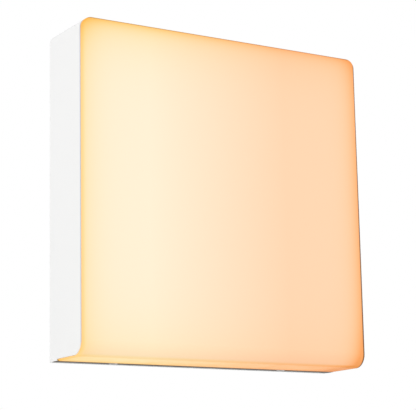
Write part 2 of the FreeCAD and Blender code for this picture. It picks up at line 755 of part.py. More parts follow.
# ---------------------------------------------------------------- wiring
def make_terminal_block():
    """Three-pole lever terminal with a wire channel right through each pole."""
    low, high = BLOCK_Z
    body = block((-BLOCK_HALF, BLOCK_HALF), (FLOOR_Y, -BLOCK_FRONT), (low, high))
    lug_x = (-BLOCK_HALF - BLOCK_LUG_REACH, -BLOCK_HALF)
    lug = block(lug_x, (FLOOR_Y, FLOOR_Y - BLOCK_LUG_HIGH), BLOCK_LUG_Z)
    body = fuse([body, lug])
    body = body.cut(rod(SCREW_HOLE_R, (TERMINAL_SCREW_X, 0, TERMINAL_SCREW_Z), 20, -ALONG_Y))
    for x in POLES.values():
        slot = (x - SLOT_HALF, x + SLOT_HALF)
        body = body.cut(block(slot, (-SLOT_DEEP[0], -BIG), SLOT_Z))
        body = body.cut(block(slot, (-SLOT_DEEP[1], -BIG), (SLOT_Z[0], SLOT_STEP_Z)))
        body = body.cut(rod(BORE_R, (x, TERMINAL_LEAD_Y, low - 1), high - low + 2, ALONG_Z))
        body = body.cut(contact_bar(x, 0.0))
        cheek = SLOT_HALF + 0.5
        body = body.cut(rod(PIVOT_R + PIVOT_PLAY, (x - cheek, PIVOT_Y, PIVOT_Z), 2 * cheek, ALONG_X))
    return body


def contact_bar(x, shrink):
    half = CONTACT_HALF - shrink
    y = (CONTACT_Y[0] - shrink, CONTACT_Y[1] + shrink)
    return block((x - half, x + half), y, (CONTACT_Z[0] + shrink, CONTACT_Z[1] - shrink))


def make_terminal_contacts():
    """Plated brass cage of each pole."""
    return [contact_bar(x, CONTACT_PLAY) for x in POLES.values()]


def make_lever(x):
    """Wire-release lever with its stub pins, lying closed in its slot."""
    width = (x - LEVER_HALF, x + LEVER_HALF)
    rear_y = LEVER_FACE_Y + LEVER_THICK
    arm = block(width, (LEVER_FACE_Y, rear_y), (PIVOT_Z, LEVER_TIP_Z))
    hub = rod(LEVER_HUB_R, (x - LEVER_HALF, PIVOT_Y, PIVOT_Z), 2 * LEVER_HALF, ALONG_X)
    web = block(width, (rear_y - 0.5, PIVOT_Y), (PIVOT_Z, PIVOT_Z + 1.5))
    pin_half = SLOT_HALF + PIN_REACH
    pin = rod(PIVOT_R, (x - pin_half, PIVOT_Y, PIVOT_Z), 2 * pin_half, ALONG_X)
    tip = [
        edge for edge in arm.Edges
        if all(abs(v.Z - LEVER_TIP_Z) < 1e-6 and abs(v.Y - LEVER_FACE_Y) < 1e-6 for v in edge.Vertexes)
    ]
    return fuse([arm.makeFillet(LEVER_TIP_ROUND, tip), hub, web, pin])


def make_mains_lead(pole):
    """Lead from one pole of the terminal up to the driver's mains connector."""
    x = POLES[pole]
    return tube(
        [
            (x, TERMINAL_LEAD_Y, -72.5),
            (x, TERMINAL_LEAD_Y, -30.0),
            (x, MAINS_LEAD_Y, -12.0),
            (x, MAINS_LEAD_Y, 16.5),
        ],
        LEAD_R,
    )


def make_earth_lead():
    """Lead from the earth pole round to the lug on the housing."""
    x = POLES["earth"]
    lug_y = FLOOR_Y - EARTH_STAND - LUG_THICK
    return tube(
        [
            (x, TERMINAL_LEAD_Y, -72.5),
            (x, TERMINAL_LEAD_Y, -62.0),
            (22.0, -6.5, -61.5),
            (EARTH_X, lug_y - LEAD_R, -64.0),
            (EARTH_X, lug_y - LEAD_R, -75.6),
        ],
        LEAD_R,
    )


def make_earth_lug():
    """Ring tongue under the earth screw, with the crimp barrel on the lead."""
    seat = FLOOR_Y - EARTH_STAND
    lead_y = seat - LUG_THICK - LEAD_R
    ring = rod(LUG_RING_R, (EARTH_X, seat, EARTH_Z), LUG_THICK, -ALONG_Y)
    tongue = block((EARTH_X - LUG_HALF, EARTH_X + LUG_HALF), (seat, seat - LUG_THICK), (EARTH_Z, LUG_TOP_Z))
    barrel = rod(BARREL_R, (EARTH_X, lead_y, BARREL_Z), BARREL_LONG, ALONG_Z)
    core = rod(LEAD_R + LEAD_PLAY, (EARTH_X, lead_y, BARREL_Z - 0.5), BARREL_LONG + 1, ALONG_Z)
    hole = rod(SCREW_HOLE_R, (EARTH_X, 0, EARTH_Z), BIG, -ALONG_Y)
    return fuse([ring, tongue, barrel]).cut(core).cut(hole)


def make_board_lead(z):
    """Lead from the driver's output forward through the tray to the board's plug."""
    return tube(
        [
            (40.5, DRIVER_OUT_Y, z),
            (LEAD_TURN_X, DRIVER_OUT_Y, z),
            (LEAD_TURN_X, led_lead_y(), z),
            (LED_PLUG_X[1] - PLUG_GRIP, led_lead_y(), z),
        ],
        LEAD_R,
    )


def make_cord_clamp():
    """Arched saddle that grips the supply cable beside its entry."""
    seat = FLOOR_Y - CLAMP_STAND
    low, high = CLAMP_Z
    middle = (low + high) / 2
    width = (CLAMP_X - CLAMP_HALF, CLAMP_X + CLAMP_HALF)
    bar = block(width, (seat, seat - CLAMP_BAR), (low - CLAMP_END, high + CLAMP_END))
    arch = rod(CLAMP_ARCH_R, (width[0], seat, middle), 2 * CLAMP_HALF, ALONG_X)
    bore = rod(CLAMP_GRIP_R, (width[0] - 1, seat, middle), 2 * CLAMP_HALF + 2, ALONG_X)
    behind = block((-BIG, BIG), (seat, BIG), (-BIG, BIG))
    saddle = fuse([bar, arch]).cut(bore).cut(behind)
    for z in CLAMP_Z:
        saddle = saddle.cut(rod(SCREW_HOLE_R, (CLAMP_X, 0, z), 20, -ALONG_Y))
    return saddle


# ---------------------------------------------------------------- fixings
def make_retaining_clip(side, z):
    """Bent stainless leaf, standing just inside the skirt of the cover."""
    foot_y = FLOOR_Y - CLIP_STAND
    bead_x = INNER_HALF - JOINT_GAP - SKIRT_THICK - CLIP_GAP
    knee_x = CLIP_X + 4.0
    outer = [(CLIP_X - 4.0, foot_y), (knee_x, foot_y), (bead_x - 1.5, CLIP_BEAD_Y + 4.0)]
    outer += [(bead_x, CLIP_BEAD_Y), (bead_x - 2.3, CLIP_TIP_Y)]
    inner = [(x - CLIP_SHEET, y) for x, y in reversed(outer[2:])]
    inner += [(knee_x - CLIP_SHEET, foot_y - CLIP_SHEET), (CLIP_X - 4.0, foot_y - CLIP_SHEET)]
    corners = [FreeCAD.Vector(side * x, y, z - CLIP_WIDE / 2) for x, y in outer + inner]
    leaf = Part.Face(Part.makePolygon(corners + corners[:1])).extrude(ALONG_Z * CLIP_WIDE)
    return leaf.cut(rod(SCREW_HOLE_R, (side * CLIP_X, 0, z), 20, -ALONG_Y))


def make_clips():
    return [make_retaining_clip(side, z) for side, z in clip_places()]


def make_clip_screws():
    seat = FLOOR_Y - CLIP_STAND - CLIP_SHEET
    return [screw(side * CLIP_X, z, seat, 6.0 - 1.6) for side, z in clip_places()]


def make_tray_screws():
    return [screw(x, z, -TRAY_BASE, 7.5, head=(3.4, 2.2)) for x, z in post_places()]


def make_board_screws():
    places = board_screw_places()
    return [screw(x, z, board_face(), 4.5, head=(2.2, 1.4), shank_r=BOARD_HOLE_R) for x, z in places]


def make_driver_screws():
    seat = FLOOR_Y - DRIVER_EAR_HIGH
    return [screw(side * DRIVER_EAR_X, DRIVER_EAR_Z, seat, 3.3) for side in (-1, 1)]


def make_clamp_screws():
    return [screw(CLAMP_X, z, FLOOR_Y - CLAMP_STAND - CLAMP_BAR, 6.3) for z in CLAMP_Z]


def make_terminal_screw():
    return screw(TERMINAL_SCREW_X, TERMINAL_SCREW_Z, FLOOR_Y - BLOCK_LUG_HIGH, 3.8)


def make_earth_screw():
    return screw(EARTH_X, EARTH_Z, FLOOR_Y - EARTH_STAND - LUG_THICK, 5.3, head=(3.2, 2.2))


# ---------------------------------------------------------------- all nodes
def all_parts():
    """Every node's name and its solid, or its list of separate solids."""
    return {
        "housing": make_housing(),
        "wall_gasket": make_wall_gasket(),
        "cable_grommet": make_cable_grommet(),
        "vent_plug": make_vent_plug(),
        "diffuser": make_diffuser(),
        "diffuser_seal": make_diffuser_seal(),
        "lock_screw_left": make_lock_screw(-1),
        "lock_screw_right": make_lock_screw(1),
        "retaining_clips": make_clips(),
        "clip_screws": make_clip_screws(),
        "reflector_tray": make_reflector_tray(),
        "tray_grommet": make_tray_grommet(),
        "tray_screws": make_tray_screws(),
        "thermal_pad": make_thermal_pad(),
        "led_board": make_led_board(),
        "led_chips": make_led_chips(),
        "led_plug": make_led_plug(),
        "board_screws": make_board_screws(),
        "driver_case": make_driver_case(),
        "driver_lid": make_driver_lid(),
        "driver_board": make_driver_board(),
        "transformer_core": make_transformer_core(),
        "transformer_winding": make_transformer_winding(),
        "capacitors": make_capacitors(),
        "choke": make_choke(),
        "switching_chips": make_switching_chips(),
        "driver_plugs": make_driver_plugs(),
        "driver_screws": make_driver_screws(),
        "terminal_block": make_terminal_block(),
        "terminal_contacts": make_terminal_contacts(),
        "terminal_screw": make_terminal_screw(),
        "lever_live": make_lever(POLES["live"]),
        "lever_neutral": make_lever(POLES["neutral"]),
        "lever_earth": make_lever(POLES["earth"]),
        "live_lead": make_mains_lead("live"),
        "neutral_lead": make_mains_lead("neutral"),
        "earth_lead": make_earth_lead(),
        "earth_lug": make_earth_lug(),
        "earth_screw": make_earth_screw(),
        "led_plus_lead": make_board_lead(LED_LEAD_Z[0]),
        "led_minus_lead": make_board_lead(LED_LEAD_Z[1]),
        "cord_clamp": make_cord_clamp(),
        "clamp_screws": make_clamp_screws(),
    }


def main():
    os.makedirs("parts", exist_ok=True)
    for name, shape in all_parts().items():
        whole = Part.makeCompound(shape) if isinstance(shape, list) else shape
        whole.exportStep(f"parts/{name}.step")
        print(name, whole.isValid(), len(whole.Solids), round(whole.Volume, 1))


main()
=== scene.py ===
"""Slim square outdoor wall light: materials, fine pieces, light and camera round its CAD frame.

Metres, in the frame of the CAD model: the origin is the centre of the wall plane, the light stands
out towards -Y, +X is to the right as seen by someone facing it, and +Z is up. Materials and fine
pieces are worked out in millimetres.
"""

import json
import math

import bmesh
import bpy
from mathutils import Matrix, Vector


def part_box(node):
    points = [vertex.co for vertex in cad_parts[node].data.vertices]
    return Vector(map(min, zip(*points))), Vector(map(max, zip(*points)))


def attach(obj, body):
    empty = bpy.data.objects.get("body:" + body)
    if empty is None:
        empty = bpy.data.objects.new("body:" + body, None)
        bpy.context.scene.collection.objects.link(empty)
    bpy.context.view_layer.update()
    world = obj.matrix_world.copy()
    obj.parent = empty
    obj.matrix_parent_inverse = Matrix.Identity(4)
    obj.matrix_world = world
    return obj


MM = 0.001

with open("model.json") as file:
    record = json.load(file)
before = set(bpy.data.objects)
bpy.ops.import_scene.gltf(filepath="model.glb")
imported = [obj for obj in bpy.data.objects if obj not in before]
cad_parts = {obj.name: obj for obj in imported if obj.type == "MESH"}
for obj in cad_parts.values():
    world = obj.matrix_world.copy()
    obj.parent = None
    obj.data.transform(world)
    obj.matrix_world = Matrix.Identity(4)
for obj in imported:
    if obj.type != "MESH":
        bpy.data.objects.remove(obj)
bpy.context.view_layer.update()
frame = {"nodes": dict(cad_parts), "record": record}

# ---------------------------------------------------------------- camera
SENSOR_WIDTH = 36.0                    # millimetres, as is the lens
LENS = 138.2884615
LENS_SHIFT = (-0.0264423, 0.0288462)
CAMERA_PLACE = (-0.5084, -0.8472, -0.1954)
CAMERA_YAW = math.radians(31.97)       # turned right from facing the wall
CAMERA_PITCH = math.radians(10.91)     # tilted up
CAMERA_ROLL = math.radians(-1.15)

# ---------------------------------------------------------------- lamps, sky and floor
LAMPS = (                              # name, place, width in metres, power in watts
    ("key_light", (-1.5, -0.9, 0.2), 1.1, 12.5),
    ("fill_light", (1.5, -1.2, 0.3), 1.2, 6.0),
    ("top_light", (0.1, -0.2, 1.6), 1.0, 3.0),
)
SKY_SIDES = 1.0                        # brightness round the horizon
SKY_ABOVE = 0.50                       # brightness overhead
SKY_DIMS_FROM = math.radians(24)       # height over the horizon where it starts to dim
SKY_DIMS_TO = math.radians(48)
FLOOR_Z = -1.6
FLOOR_RADIUS = 14.0
FLOOR_SEGMENTS = 96
FLOOR_NEAR = 3.0                       # where the floor starts to fade into the backdrop
FLOOR_FAR = 8.0
FLOOR_COLOUR = (0.66, 0.66, 0.655)
BLACK = (0.0, 0.0, 0.0)
WHITE = (1.0, 1.0, 1.0)

# ---------------------------------------------------------------- places on the light, in millimetres
COVER_LOW, COVER_HIGH = (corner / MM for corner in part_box("diffuser"))
HOUSING_FRONT_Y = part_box("housing")[0].y / MM
COVER_REAR_Y = -9.9                    # rear edge of the cover's underside, next to the strip
BEND_R = 8.5                           # front-bottom bend of the cover
CAN_END = (-17.35, -17.55)             # where the sleeve of a capacitor gives way to its bare end, along Y


def srgb(red, green, blue):
    """Linear colour of a display colour given in 0 to 255."""
    shares = [level / 255 for level in (red, green, blue)]
    return tuple(v / 12.92 if v <= 0.04045 else ((v + 0.055) / 1.055) ** 2.4 for v in shares)


def tint(colour, factor):
    return tuple(min(1.0, level * factor) for level in colour)


# ---------------------------------------------------------------- shader helper
NOISE_BAND = (0.3, 0.7)                # the part of a noise's range that most of it lies in
WAVE_FACTOR = 20.0                     # Blender's wave texture multiplies its coordinates by this
BEVEL_SAMPLES = 4
EDGE_REACH = 0.25                      # turn of the normal that counts as a full corner


class Surface:
    """A Principled material with short calls for the nodes used here; lengths are in millimetres."""

    def __init__(self, name):
        self.material = bpy.data.materials.new(name)
        self.material.use_nodes = True
        self.tree = self.material.node_tree
        self.shader = self.tree.nodes["Principled BSDF"]
        place = self.node("ShaderNodeTexCoord").outputs["Object"]
        self.place = self.vector("SCALE", place, scale=1 / MM)

    def node(self, kind, **settings):
        made = self.tree.nodes.new(kind)
        for name, value in settings.items():
            setattr(made, name, value)
        return made

    def put(self, socket, value):
        """A link if value is another node's output, else the socket's own value."""
        if isinstance(value, bpy.types.NodeSocket):
            self.tree.links.new(value, socket)
        else:
            socket.default_value = value

    def set(self, **inputs):
        """Inputs of the Principled shader, by name with underscores for spaces."""
        for name, value in inputs.items():
            if isinstance(value, tuple) and len(value) == 3:
                value = (*value, 1.0)
            self.put(self.shader.inputs[name.replace("_", " ")], value)

    def math(self, operation, *values):
        made = self.node("ShaderNodeMath", operation=operation)
        for socket, value in zip(made.inputs, values):
            self.put(socket, value)
        return made.outputs[0]

    def total(self, *parts):
        """Sum of any number of values."""
        whole = parts[0]
        for part in parts[1:]:
            whole = self.math("ADD", whole, part)
        return whole

    def vector(self, operation, *values, scale=None):
        made = self.node("ShaderNodeVectorMath", operation=operation)
        for socket, value in zip(made.inputs, values):
            self.put(socket, value)
        if scale is not None:
            self.put(made.inputs["Scale"], scale)
        return made.outputs["Value" if operation == "DOT_PRODUCT" else "Vector"]

    def split(self, vector):
        """The x, y and z of a vector."""
        made = self.node("ShaderNodeSeparateXYZ")
        self.put(made.inputs[0], vector)
        return made.outputs

    def span(self, value, low, high, to_low=0.0, to_high=1.0, smooth=True):
        """value moved from low..high to to_low..to_high, held at both ends."""
        kind = "SMOOTHSTEP" if smooth else "LINEAR"
        made = self.node("ShaderNodeMapRange", interpolation_type=kind)
        for socket, part in zip(made.inputs, (value, low, high, to_low, to_high)):
            self.put(socket, part)
        return made.outputs[0]

    def between(self, pattern, low, high):
        """A noise pattern spread over low to high."""
        return self.span(pattern, *NOISE_BAND, low, high)

    def fade(self, distance, reach, amount):
        """amount where distance is 0, dying away over reach."""
        share = self.math("EXPONENT", self.math("DIVIDE", self.math("MAXIMUM", distance, 0.0), -reach))
        return self.math("MULTIPLY", share, amount)

    def blend(self, factor, first, second):
        """Colour from first to second as factor goes from 0 to 1."""
        made = self.node("ShaderNodeMix", data_type="RGBA")
        self.put(made.inputs["Factor"], factor)
        colours = [socket for socket in made.inputs if socket.type == "RGBA"]
        for socket, colour in zip(colours, (first, second)):
            self.put(socket, (*colour, 1.0) if isinstance(colour, tuple) else colour)
        return next(socket for socket in made.outputs if socket.type == "RGBA")

    def noise(self, size, detail=3.0, stretch=None):
        """Cloudy noise from 0 to 1 whose features are about size across."""
        made = self.node("ShaderNodeTexNoise")
        place = self.vector("MULTIPLY", self.place, stretch) if stretch else self.place
        self.put(made.inputs["Vector"], place)
        made.inputs["Scale"].default_value = 1 / size
        made.inputs["Detail"].default_value = detail
        return made.outputs["Fac"]

    def cells(self, size):
        """Distance from the middle of cells about size across."""
        made = self.node("ShaderNodeTexVoronoi", feature="F1")
        self.put(made.inputs["Vector"], self.place)
        made.inputs["Scale"].default_value = 1 / size
        return made.outputs["Distance"]

    def ridges(self, pitch, direction):
        """Waves of the given pitch along one axis."""
        made = self.node("ShaderNodeTexWave", bands_direction=direction)
        self.put(made.inputs["Vector"], self.place)
        made.inputs["Scale"].default_value = math.tau / pitch / WAVE_FACTOR
        return made.outputs["Fac"]

    def rounded(self, radius):
        """The surface's normal with its corners softened."""
        made = self.node("ShaderNodeBevel", samples=BEVEL_SAMPLES)
        made.inputs["Radius"].default_value = radius * MM
        return made.outputs[0]

    def normal(self):
        return self.node("ShaderNodeNewGeometry").outputs["Normal"]

    def edges(self, radius):
        """1 along outer and inner corners and 0 on flats."""
        alike = self.vector("DOT_PRODUCT", self.rounded(radius), self.normal())
        return self.span(self.math("SUBTRACT", 1.0, alike), 0.0, EDGE_REACH)

    def relief(self, *layers, rounding=0.0):
        """Bump from (height, depth) layers, over corners softened by rounding."""
        normal = self.rounded(rounding) if rounding else None
        for height, depth in layers:
            bump = self.node("ShaderNodeBump")
            bump.inputs["Distance"].default_value = depth * MM
            self.put(bump.inputs["Height"], height)
            if normal is not None:
                self.put(bump.inputs["Normal"], normal)
            normal = bump.outputs[0]
        self.put(self.shader.inputs["Normal"], normal)


# ---------------------------------------------------------------- housing
POWDER_WHITE = (0.83, 0.83, 0.825)
EDGE_SHADE = srgb(176, 187, 210)       # on the housing's front edge, next to the cover
EDGE_BAND = (1.3, 0.3)                 # how far behind that edge it starts and is full
EDGE_SHARE = 0.9
STRIP_SHADE = srgb(66, 40, 14)         # under the rear strip, next to the cover
STRIP_BAND = (-1.8, -6.4)              # where it starts and is full, along Y
UNDERNEATH = (0.4, 0.05)               # height over the lowest face that counts as underneath


def powder_coat(name):
    """Satin white powder coat with fine orange peel, shaded at its two joints with the cover."""
    s = Surface(name)
    _, y, z = s.split(s.place)
    paint = s.blend(s.noise(38.0), tint(POWDER_WHITE, 0.985), POWDER_WHITE)
    thin = s.math("MULTIPLY", s.edges(0.5), s.span(s.noise(3.0), 0.5, 0.7))
    paint = s.blend(s.math("MULTIPLY", thin, 0.25), paint, tint(POWDER_WHITE, 0.82))
    edge_start, edge_full = (HOUSING_FRONT_Y + behind for behind in EDGE_BAND)
    paint = s.blend(s.span(y, edge_start, edge_full, 0.0, EDGE_SHARE), paint, EDGE_SHADE)
    low_start, low_full = (COVER_LOW.z + over for over in UNDERNEATH)
    shaded = s.math("MULTIPLY", s.span(z, low_start, low_full), s.span(y, *STRIP_BAND))
    s.set(Base_Color=s.blend(shaded, paint, STRIP_SHADE))
    s.set(Roughness=s.between(s.noise(6.0), 0.42, 0.52), Specular_IOR_Level=0.2)
    s.relief((s.noise(1.6, 1.0), 0.012), (s.noise(0.35, 1.0), 0.003), rounding=0.4)
    return s


# ---------------------------------------------------------------- lit cover
GLOW_LEFT = (1.0, 0.830, 0.628)        # over the bright part of the board
GLOW_RIGHT = (1.0, 0.645, 0.420)
GLOW_TURN = (-55.0, 42.0)              # where the colour runs from the one to the other, along X
GREEN_LOSS = 1.0
BLUE_LOSS = (3.4, 2.3)                 # how much faster than green the blue dies away, left and right
RED_LOSS = 0.5
RED_HOLDS = 0.4                        # loss up to which the red stays full
GLOW_SHARE = 0.25                      # share of the cover's colour that comes from light falling on it
GLOW_STRENGTH = 0.80
UNDERSIDE = (1.6, 0.1)                 # height over the lowest face where the underside starts and is full

# How the glow dies away towards each edge: reach in millimetres, and the loss at the edge.
TOP_EDGE_LOSS = (2.5, 0.35)
TOP_LOSS = (14.0, 0.145)
LEFT_LOSS = (8.0, 0.10)
RIGHT_LOSS = (5.0, 0.5)
BOTTOM_LOSS = (17.0, 0.075)
REAR_LOSS = (6.0, 0.3)
RIGHT_UNDER_LOSS = (16.0, 0.5)
DEPTH_LOSS = (2.2, 0.24)               # none on the front face, full behind it
LOW_CORNER_ACROSS = (5.0, 1.1)         # bottom right corner, in from the right
LOW_CORNER_UP = (12.0, 1.0)            # and up from the bottom
TOP_CORNER_ACROSS = (7.0, 0.3)         # both top corners, in from the nearer side
TOP_CORNER_DOWN = (8.0, 1.0)
RIGHT_LOSS_MOST = 0.5
UNDER_LOSS = 0.04
UNDER_LOSS_RIGHT = 0.12                # more of it at the right
UNDER_WARMTH = 0.15                    # extra loss of blue
REAR_WARMTH = 0.8

# The thin shaded line round the cover's top, right and rear edges.
RIM = srgb(74, 46, 24)
RIM_RIGHT = 0.95                       # how far the glow gives way to it
RIM_TOP = 0.55
RIM_REAR = 0.8
RIM_RIGHT_BAND = (2.0, 0.8)            # distance from the edge where it starts and is full
RIM_TOP_BAND = (1.4, 0.3)
RIM_FACE_BAND = (2.1, 1.2)
RIM_REAR_BAND = (1.8, 0.4)


class CoverPlace:
    """Where a point of the cover is: its distance from each edge, and 1 on the underside."""

    def __init__(self, s):
        x, y, z = s.split(s.place)
        self.across = s.span(x, *GLOW_TURN, smooth=False)
        self.from_top = s.math("SUBTRACT", COVER_HIGH.z, z)
        self.from_bottom = s.math("SUBTRACT", z, COVER_LOW.z)
        self.from_left = s.math("ADD", x, COVER_HIGH.x)
        self.from_right = s.math("SUBTRACT", COVER_HIGH.x, x)
        self.from_strip = s.math("SUBTRACT", COVER_REAR_Y, y)
        self.under = s.span(self.from_bottom, *UNDERSIDE)
        self.from_face = self.depth_in_bend(s, s.math("SUBTRACT", y, COVER_LOW.y))

    def depth_in_bend(self, s, from_front):
        """Distance in from the front face, which turns the bend with it."""
        sides = (from_front, self.from_bottom)
        short = [s.math("MAXIMUM", s.math("SUBTRACT", BEND_R, side), 0.0) for side in sides]
        squares = [s.math("MULTIPLY", side, side) for side in short]
        return s.math("SUBTRACT", BEND_R, s.math("SQRT", s.total(*squares)))


def right_loss(s, at):
    """Loss along the right edge, in the corner below it and under it, held to its most."""
    edge = s.fade(at.from_right, *RIGHT_LOSS)
    low_corner = s.math(
        "MULTIPLY", s.fade(at.from_right, *LOW_CORNER_ACROSS), s.fade(at.from_bottom, *LOW_CORNER_UP)
    )
    below = s.math("MULTIPLY", at.under, s.fade(at.from_right, *RIGHT_UNDER_LOSS))
    return s.math("MINIMUM", s.total(edge, low_corner, below), RIGHT_LOSS_MOST)


def cover_loss(s, at, rear):
    """How far the glow has died away, from 0 in the middle of the front."""
    reach, amount = DEPTH_LOSS
    depth = s.math("SUBTRACT", amount, s.fade(at.from_face, reach, amount))
    nearer = s.math("MINIMUM", at.from_left, at.from_right)
    top_corner = s.math(
        "MULTIPLY", s.fade(nearer, *TOP_CORNER_ACROSS), s.fade(at.from_top, *TOP_CORNER_DOWN)
    )
    below = s.total(s.math("MULTIPLY", at.across, UNDER_LOSS_RIGHT), UNDER_LOSS)
    return s.total(
        s.fade(at.from_top, *TOP_EDGE_LOSS),
        s.fade(at.from_top, *TOP_LOSS),
        right_loss(s, at),
        s.fade(at.from_left, *LEFT_LOSS),
        s.fade(at.from_bottom, *BOTTOM_LOSS),
        depth,
        rear,
        top_corner,
        s.math("MULTIPLY", at.under, below),
    )


def cover_glow(s, at):
    """Colour of the glow: each channel starts from its own level and dies away at its own speed."""
    rear = s.math("MULTIPLY", s.fade(at.from_strip, *REAR_LOSS), at.under)
    loss = cover_loss(s, at, rear)

    def channel(number, speed, extra=0.0):
        start = s.span(at.across, 0.0, 1.0, GLOW_LEFT[number], GLOW_RIGHT[number], smooth=False)
        exponent = s.math("SUBTRACT", s.math("MULTIPLY", loss, speed), extra)
        return s.math("MULTIPLY", start, s.math("EXPONENT", exponent))

    beyond = s.math("MAXIMUM", s.math("SUBTRACT", loss, RED_HOLDS), 0.0)
    blue_left, blue_right = BLUE_LOSS
    blue_speed = s.span(at.across, 0.0, 1.0, -blue_left, -blue_right, smooth=False)
    warmer = s.total(s.math("MULTIPLY", at.under, UNDER_WARMTH), s.math("MULTIPLY", rear, REAR_WARMTH))
    colour = s.node("ShaderNodeCombineColor")
    s.put(colour.inputs[0], s.math("EXPONENT", s.math("MULTIPLY", beyond, -RED_LOSS)))
    s.put(colour.inputs[1], channel(1, -GREEN_LOSS))
    s.put(colour.inputs[2], channel(2, blue_speed, warmer))
    return colour.outputs[0]


def cover_rim(s, at):
    """How far the shaded line covers the glow."""
    right = s.span(at.from_right, *RIM_RIGHT_BAND, 0.0, RIM_RIGHT)
    top = s.span(at.from_top, *RIM_TOP_BAND, 0.0, RIM_TOP)
    front = s.math("MULTIPLY", s.math("MAXIMUM", right, top), s.span(at.from_face, *RIM_FACE_BAND))
    rear = s.math("MULTIPLY", at.under, s.span(at.from_strip, *RIM_REAR_BAND, 0.0, RIM_REAR))
    return s.math("MAXIMUM", front, rear)


def opal(name):
    """Opal acrylic lit from inside: palest over the light board, deeper towards its edges and rear."""
    s = Surface(name)
    at = CoverPlace(s)
    glow = s.blend(cover_rim(s, at), cover_glow(s, at), RIM)
    # The base colour is the glow with its shade line, scaled down: the board's light and the shade are
    # painted into the cover's own colour as well.
    s.set(Base_Color=s.vector("SCALE", glow, scale=GLOW_SHARE))
    s.set(Emission_Color=glow, Emission_Strength=GLOW_STRENGTH)
    s.set(Roughness=s.between(s.noise(9.0), 0.36, 0.44), Specular_IOR_Level=0.08)
    s.relief((s.noise(2.2, 1.0), 0.006), (s.noise(0.3, 1.0), 0.0015))
    return s


# ---------------------------------------------------------------- plain finishes
PHOSPHOR_STRENGTH = 1.4
STRIPE_EDGE = (-0.15, -0.3)            # how far the earth lead's surface faces -Y where its stripe starts


def phosphor(name):
    """Ivory package whose lens glows warm white."""
    s = Surface(name)
    pores = s.noise(0.4)
    s.set(Base_Color=s.blend(pores, srgb(250, 236, 196), srgb(244, 214, 140)))
    s.set(Emission_Color=srgb(255, 226, 176), Emission_Strength=PHOSPHOR_STRENGTH)
    s.set(Roughness=s.between(pores, 0.3, 0.5))
    s.relief((s.noise(0.25, 1.0), 0.01), rounding=0.1)
    return s


def moulded(name, colour, roughness=(0.42, 0.55), texture=0.5, depth=0.01, rounding=0.25, scuffing=0.12):
    """Moulded or extruded plastic: fine eroded texture, faint clouds and scuffed corners."""
    s = Surface(name)
    scuffs = s.math("MULTIPLY", s.edges(rounding * 1.6), s.span(s.noise(1.8), 0.42, 0.62))
    clouds = s.blend(s.noise(11.0), tint(colour, 0.93), tint(colour, 1.05))
    lighter = tuple(level + (1.0 - level) * 0.35 for level in colour)
    s.set(Base_Color=s.blend(s.math("MULTIPLY", scuffs, scuffing * 4), clouds, lighter))
    s.set(Roughness=s.between(s.noise(4.0), *roughness))
    s.relief((s.noise(texture, 1.0), depth), rounding=rounding)
    return s


def rubber(name, colour):
    """Moulded rubber with bloom on its corners."""
    return moulded(
        name, colour, roughness=(0.62, 0.78), texture=0.35, depth=0.02, rounding=0.3, scuffing=0.2
    )


def foam(name, colour):
    """Closed-cell foam: open skin of small cells."""
    s = Surface(name)
    pits = s.cells(0.55)
    s.set(Base_Color=s.blend(s.span(pits, 0.1, 0.7), tint(colour, 0.55), tint(colour, 1.9)))
    s.set(Roughness=s.between(s.noise(2.0), 0.82, 0.95))
    s.relief((pits, 0.12), (s.noise(0.2, 2.0), 0.03), rounding=0.4)
    return s


def silicone(name):
    """Milky silicone cord."""
    s = moulded(name, srgb(232, 230, 222), roughness=(0.25, 0.4), texture=1.2, rounding=0.3)
    s.set(Subsurface_Weight=0.35, Subsurface_Scale=0.002)
    return s


def metal(name, colour, roughness=(0.2, 0.34)):
    """Bare or plated metal with directional grain, small scratches and dulled corners."""
    s = Surface(name)
    lines = s.noise(0.9, 4.0, stretch=(1.0, 14.0, 1.0))
    clouds = s.blend(s.noise(5.0), tint(colour, 0.86), tint(colour, 1.04))
    s.set(Base_Color=s.blend(s.math("MULTIPLY", s.edges(0.2), 0.5), clouds, tint(colour, 0.6)))
    s.set(Metallic=1.0)
    s.set(Roughness=s.span(lines, 0.25, 0.75, *roughness))
    s.relief((lines, 0.004), (s.noise(0.25, 1.0), 0.002), rounding=0.15)
    return s


def spangled_zinc(name):
    """Bright zinc plate with its faint crystal pattern and a bluish cast."""
    s = Surface(name)
    spangle = s.cells(0.8)
    s.set(Base_Color=s.blend(spangle, srgb(196, 203, 212), srgb(226, 226, 220)))
    s.set(Metallic=1.0)
    s.set(Roughness=s.span(spangle, 0.1, 0.8, 0.2, 0.38))
    s.relief((s.noise(0.5, 3.0), 0.006), rounding=0.15)
    return s


def reflector_paint(name):
    """High-reflectance white over rolled sheet."""
    s = Surface(name)
    rolled = s.noise(1.6, 3.0, stretch=(0.12, 1.0, 1.0))
    rubbed = s.math("MULTIPLY", s.edges(0.5), s.span(s.noise(2.5), 0.5, 0.7))
    s.set(Base_Color=s.blend(s.math("MULTIPLY", rubbed, 0.5), srgb(246, 245, 241), srgb(196, 196, 194)))
    s.set(Roughness=s.between(rolled, 0.28, 0.4))
    s.relief((rolled, 0.01), rounding=0.4)
    return s


def gap_pad(name):
    """Silicone pad on a woven glass carrier."""
    s = Surface(name)
    weave = s.math("MULTIPLY", s.ridges(0.9, "X"), s.ridges(0.9, "Z"))
    s.set(Base_Color=s.blend(weave, srgb(150, 158, 168), srgb(178, 186, 194)))
    s.set(Roughness=s.span(weave, 0.0, 1.0, 0.7, 0.85))
    s.relief((weave, 0.03), (s.noise(0.5), 0.01), rounding=0.2)
    return s


